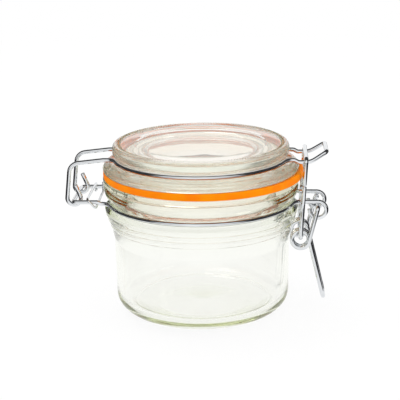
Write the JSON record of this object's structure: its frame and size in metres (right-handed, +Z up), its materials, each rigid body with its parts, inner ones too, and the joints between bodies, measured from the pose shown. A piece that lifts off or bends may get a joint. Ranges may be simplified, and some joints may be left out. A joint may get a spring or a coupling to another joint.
{
  "type": "clip-top glass jar",
  "caption": "Squat clear glass jar with a hinged glass lid on a rubber sealing ring, pulled shut by a bent-wire clasp with a lever and link.",
  "frame": {"origin": "on the jar's axis, in the plane of the foot ring that it stands on", "axes": "+Z up along the jar's axis, +X from the hinge towards the clasp, +Y completes a right-handed frame"},
  "size_m": [0.1229, 0.094, 0.0822],
  "materials": {
    "jar_glass": "clear pressed glass with a faint green cast in thick edges",
    "lid_glass": "clear pressed glass with a faint green cast in thick edges",
    "seal_rubber": "satin orange rubber",
    "plated_wire": "bright zinc-plated drawn steel wire"
  },
  "bodies": {
    "jar": {"jar_body": "jar_glass", "neck_wire": "plated_wire", "hinge_tie": "plated_wire"},
    "lid": {"glass_lid": "lid_glass", "rubber_seal": "seal_rubber", "lid_wire": "plated_wire"},
    "lever": {"lever": "plated_wire"},
    "link": {"closing_link": "plated_wire"}
  },
  "joints": [
    {"name": "lid_hinge", "type": "hinge", "parent": "jar", "child": "lid", "pos_m": [-0.0591, 0, 0.0562], "axis": [0, -1, 0], "range_deg": [0, 190]},
    {"name": "lever_swing", "type": "hinge", "parent": "jar", "child": "lever", "pos_m": [0.0547, 0, 0.0532], "axis": [0, -1, 0], "range_deg": [0, 165]},
    {"name": "link_swing", "type": "hinge", "parent": "lever", "child": "link", "pos_m": [0.0467, 0, 0.0389], "axis": [0, -1, 0], "range_deg": [-340, 0]}
  ],
  "couplings": [
    {"joint": "lever_swing", "follows": "lid_hinge", "ratio": 0.86842},
    {"joint": "link_swing", "follows": "lid_hinge", "ratio": -1.7895}
  ]
}
